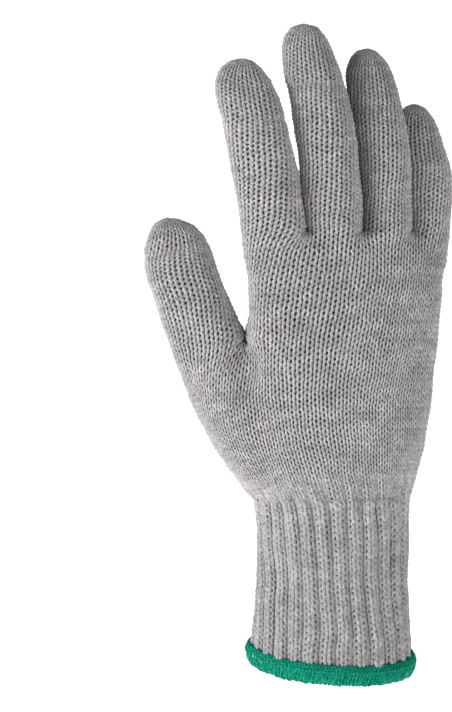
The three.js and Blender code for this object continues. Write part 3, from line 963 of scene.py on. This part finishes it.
def build_cuff_rows(wrist):
    tree = tree_of([points_and_faces(frame["nodes"]["rib_cuff"])])
    hem_place, _, half_high = hem_places(frame["nodes"]["cuff_edging"])

    def bottom_of(angle):
        return hem_place(np.array([angle]))[0][2] + half_high + HEM_GAP

    return wandered(cuff_rings(tree, bottom_of, wrist - 0.5 * MM, HEEL_WALES))


def crotch_faces(grid):
    """The faces that close the backing between tubes that grow out of the same row."""
    parts = grid.parts
    thumb, palm = parts["thumb"]["index"], parts["palm"]["index"]
    faces = [(thumb[0, HALF_THUMB - 1], palm[0, 0], palm[0, -1], thumb[0, HALF_THUMB])]
    fingers = list(finger_parts())
    for before, after in zip(fingers, fingers[1:]):
        first = parts[before[0]]["index"][0]
        second = parts[after[0]]["index"][0]
        near_side = first[before[3][-1]:before[4][0] + 1]
        far_side = np.append(second[after[4][-1]:], second[0])
        faces.append((*far_side[::-1], *near_side[::-1]))
    return faces


def build_backing(grid, normal, cuff, cuff_normal):
    """One closed skin behind the loops: an outer layer, an inner one and the rim at the hem."""
    rows, count, _ = cuff.shape
    warped = rib_warp(np.tile(np.arange(float(count)), (rows, 1)), 1.0)
    sunk = BACKING_DEPTH + GROOVE_DEPTH * rib_sink(warped)[..., None]
    outer_cuff = periodic_cubic(cuff, warped) - sunk * periodic_linear(cuff_normal, warped)
    depth = np.full(grid.count, BACKING_DEPTH)
    heel = grid.parts["heel"]["index"]
    for r in range(RIB_FADE_ROWS):
        depth[heel[r]] += 0.5 * GROOVE_DEPTH * (1 - r / RIB_FADE_ROWS)
    outer_cuff = np.vstack([outer_cuff[:1] - np.array([0, 0, HEM_TUCK]), outer_cuff])
    points = np.vstack([grid.pos - depth[:, None] * normal, outer_cuff.reshape(-1, 3)])
    outward = np.vstack([normal, cuff_normal[0], cuff_normal.reshape(-1, 3)])
    cuff_index = grid.count + np.arange((rows + 1) * count).reshape(rows + 1, count)
    faces = crotch_faces(grid)
    for w in range(grid.count):
        beside = grid.right[w]
        if grid.up[w] >= 0 and grid.up[beside] >= 0:
            faces.append((w, beside, grid.up[beside], grid.up[w]))
    columns = np.vstack([cuff_index, heel[:1]])
    for lower, upper in zip(columns, columns[1:]):
        for w in range(count):
            v = (w + 1) % count
            faces.append((lower[w], lower[v], upper[v], upper[w]))
    for name in (*FINGERS, "thumb"):
        faces.append(tuple(grid.parts[name]["index"][-1]))
    number = len(points)
    inner = points - BACKING_THICKNESS * outward
    faces += [tuple(i + number for i in reversed(face)) for face in faces]
    for w in range(count):
        here, beside = cuff_index[0, w], cuff_index[0, (w + 1) % count]
        faces.append((beside, here, here + number, beside + number))
    mesh = bpy.data.meshes.new("knit_reverse")
    mesh.from_pydata(np.vstack([points, inner]).tolist(), [], [[int(i) for i in face] for face in faces])
    mesh.update()
    mesh.polygons.foreach_set("use_smooth", np.ones(len(faces), dtype=bool))
    piece = bpy.data.objects.new("knit_reverse", mesh)
    bpy.context.scene.collection.objects.link(piece)
    return piece


def knit_piece(name, places, upward, normal, fade, shade=None):
    path, way_out, radius = loop_paths(places, upward, normal, fade)
    return tube_mesh(name, path, way_out, radius, shade)


def build_knitting(grid, cuff, material, reverse):
    upward, normal = grid.directions()
    grid.pos = grid.pos - KNIT_INSET * normal
    upward, normal = grid.directions()
    cuff_across = np.roll(cuff, -1, axis=1) - np.roll(cuff, 1, axis=1)
    cuff_up = np.gradient(cuff, axis=0)
    cuff_normal = unit(np.cross(cuff_across, cuff_up))
    cuff = cuff - KNIT_INSET * cuff_normal
    finish_piece(build_backing(grid, normal, cuff, cuff_normal), reverse)

    # The cuff's yarn is drawn darker by CUFF_SHADE, fading out over the last rows below the wrist.
    below_wrist = np.arange(len(cuff), 0, -1)[:, None] / RIB_FADE_ROWS
    cuff_shade = 1 - CUFF_SHADE * np.clip(np.tile(below_wrist, (1, cuff.shape[1])), 0, 1)
    cuff_piece = knit_piece("knit_cuff", cuff, cuff_up, cuff_normal, np.ones(len(cuff)), cuff_shade)
    finish_piece(cuff_piece, material, ["rib_cuff"])
    heel = grid.parts["heel"]["index"][1:]
    fade = np.clip(1 - np.arange(1, len(heel) + 1) / RIB_FADE_ROWS, 0, 1)
    half = len(heel) // 2
    palm = grid.parts["palm"]["index"]
    pieces = [
        ("knit_heel", heel[:half], fade[:half], ()),
        ("knit_thumb_root", heel[half:], fade[half:], ()),
        ("knit_palm", palm, np.zeros(len(palm)), ("palm",)),
    ]
    for name in (*FINGERS, "thumb"):
        index = grid.parts[name]["index"]
        pieces.append(("knit_" + name, index, np.zeros(len(index)), (name,)))
    for name, index, part_fade, nodes in pieces:
        shade = neighbour_painted_shadow(name.removeprefix("knit_"), grid.pos[index])
        piece = knit_piece(name, grid.pos[index], upward[index], normal[index], part_fade, shade)
        finish_piece(piece, material, nodes)


def edging_wraps(place, half_thick, half_high):
    """Slanted turns of thread round the hem, two threads to a turn, with the way out of each."""
    phi = 2 * math.pi * np.arange(WRAP_POINTS) / WRAP_POINTS
    step = 2 * math.pi / EDGING_WRAPS
    thick = half_thick - EDGING_THREAD
    high = half_high - EDGING_THREAD
    rings = []
    ways = []
    for i in range(EDGING_WRAPS):
        for offset in (-THREAD_OFFSET, THREAD_OFFSET):
            angle = step * (i + 0.5 + offset + 0.06 * rng.standard_normal())
            slant = step * (0.9 + 0.3 * rng.standard_normal())
            angles = angle + slant * (np.sin(phi) * 0.5 + 0.25 * np.sin(2 * phi))
            away = away_at(angles)
            puff = 1 + 0.05 * rng.standard_normal()
            ring = place(angles) + away * (np.cos(phi) * thick * puff)[:, None]
            ring[:, 2] += np.sin(phi) * high * puff
            rings.append(ring)
            rise = np.outer(np.sin(phi) / high, (0, 0, 1))
            ways.append(unit(away * (np.cos(phi) / thick)[:, None] + rise))
    return np.array(rings), np.array(ways)


def edging_chain(place, half_thick, half_high):
    """Two threads that swing across each other along the hem's upper outside, with the way out of each."""
    points = EDGING_WRAPS * CHAIN_POINTS
    angles = 2 * math.pi * np.arange(points) / points
    t = 2 * math.pi * np.arange(points) / CHAIN_POINTS
    lift = 1.06
    rows = []
    ways = []
    for shift, side in ((0.0, 1.0), (math.pi, 0.7)):
        tilt = CHAIN_TILT + CHAIN_SWING * np.sin(t + shift) * side
        bent = angles + 0.3 * 2 * math.pi / EDGING_WRAPS * np.sin(2 * t + shift)
        away = away_at(bent)
        row = place(bent) + away * (np.cos(tilt) * half_thick * lift)[:, None]
        row[:, 2] += np.sin(tilt) * half_high * lift
        rows.append(row)
        ways.append(unit(away * np.cos(tilt)[:, None] + np.outer(np.sin(tilt), (0, 0, 1))))
    return np.array(rows), np.array(ways)


def edging_core(place, half_thick, half_high):
    """The core of the hem, which shows between the turns."""
    angles = 2 * math.pi * np.arange(CORE_STATIONS) / CORE_STATIONS
    turn = (2 * math.pi * np.arange(CORE_SIDES) / CORE_SIDES)[None, :, None]
    inset = 1.1 * EDGING_THREAD
    core = place(angles)[:, None, :] + away_at(angles)[:, None, :] * np.cos(turn) * (half_thick - inset)
    core = core + np.array([0, 0, 1]) * np.sin(turn) * (half_high - inset)
    number = np.arange(CORE_STATIONS * CORE_SIDES).reshape(CORE_STATIONS, CORE_SIDES)
    beside = np.roll(number, -1, axis=0)
    faces = np.stack([number, beside, np.roll(beside, -1, axis=1), np.roll(number, -1, axis=1)], axis=-1)
    return quad_mesh("edging_core", core.reshape(-1, 3), faces.reshape(-1, 4))


def build_edging(material):
    hem = hem_places(frame["nodes"]["cuff_edging"])
    wraps = tube_mesh("edging_wraps", *edging_wraps(*hem), EDGING_THREAD)
    finish_piece(wraps, material, ["cuff_edging"])
    chain = tube_mesh("edging_chain", *edging_chain(*hem), 0.85 * EDGING_THREAD)
    finish_piece(chain, material)
    finish_piece(edging_core(*hem), material)


# Camera, floor and light

PIXEL = 0.3758 * MM  # on the glove, at the distance of its middle
PICTURE_HEIGHT = 712
CAMERA_DISTANCE = 1.0
CAMERA_ELEVATION = math.radians(6)
AIM = Vector((-0.0398, 0.0, 0.119))
FLOOR_LEVEL = -0.09
FLOOR_SIZE = 30
KEY = ((-1.0, -0.52, 0.36), 0.35, 10.4)  # place, size and power
FILL = ((0.7, -0.95, 0.3), 0.9, 3.8)
LIT = Vector((0, 0, 0.12))  # where the lights point
SKY_LIGHT = 0.28
SKY_SEEN = 1.5


def aimed(thing, place, target):
    thing.location = place
    thing.rotation_euler = (target - place).to_track_quat("-Z", "Y").to_euler()


def build_camera():
    data = bpy.data.cameras.new("camera")
    data.sensor_width = 36
    data.lens = data.sensor_width * CAMERA_DISTANCE / (PIXEL * PICTURE_HEIGHT)
    camera = bpy.data.objects.new("camera", data)
    bpy.context.scene.collection.objects.link(camera)
    back = Vector((0, -math.cos(CAMERA_ELEVATION), math.sin(CAMERA_ELEVATION)))
    aimed(camera, AIM + CAMERA_DISTANCE * back, AIM)
    bpy.context.scene.camera = camera


def area_light(name, place, size, power):
    data = bpy.data.lights.new(name, "AREA")
    data.size = size
    data.energy = power
    light = bpy.data.objects.new(name, data)
    bpy.context.scene.collection.objects.link(light)
    aimed(light, Vector(place), LIT)


def build_sky():
    """Soft light from all sides, which the camera sees as white."""
    world = bpy.data.worlds.new("studio")
    bpy.context.scene.world = world
    world.use_nodes = True
    tree = world.node_tree
    glow = tree.nodes["Background"]
    set_inputs(glow, Color=(1, 1, 1, 1), Strength=SKY_LIGHT)
    seen = add(tree, "ShaderNodeBackground")
    set_inputs(seen, Strength=SKY_SEEN)
    either = add(tree, "ShaderNodeMixShader")
    path = add(tree, "ShaderNodeLightPath")
    tree.links.new(path.outputs["Is Camera Ray"], either.inputs[0])
    tree.links.new(glow.outputs[0], either.inputs[1])
    tree.links.new(seen.outputs[0], either.inputs[2])
    tree.links.new(either.outputs[0], tree.nodes["World Output"].inputs["Surface"])


def build_studio():
    bpy.ops.mesh.primitive_plane_add(size=FLOOR_SIZE, location=(0, 0, FLOOR_LEVEL))
    floor = bpy.context.object
    floor.name = "floor"
    floor.data.materials.append(floor_material())
    build_sky()
    area_light("key", *KEY)
    area_light("fill", *FILL)
    bpy.context.scene.view_settings.view_transform = "Standard"


grid, wrist = build_grid()
cuff = build_cuff_rows(wrist)
grid.pos[grid.parts["heel"]["index"][0]] = cuff[-1]
grid.relax(RELAX_STEPS)
grid.smooth(SMOOTH_STEPS)
grid.pos = wandered(grid.pos)
close_gaps(grid)
pucker(grid)
build_knitting(grid, cuff, yarn_material(), backing_shade_material(wrist))
build_edging(edging_material())
build_camera()
build_studio()
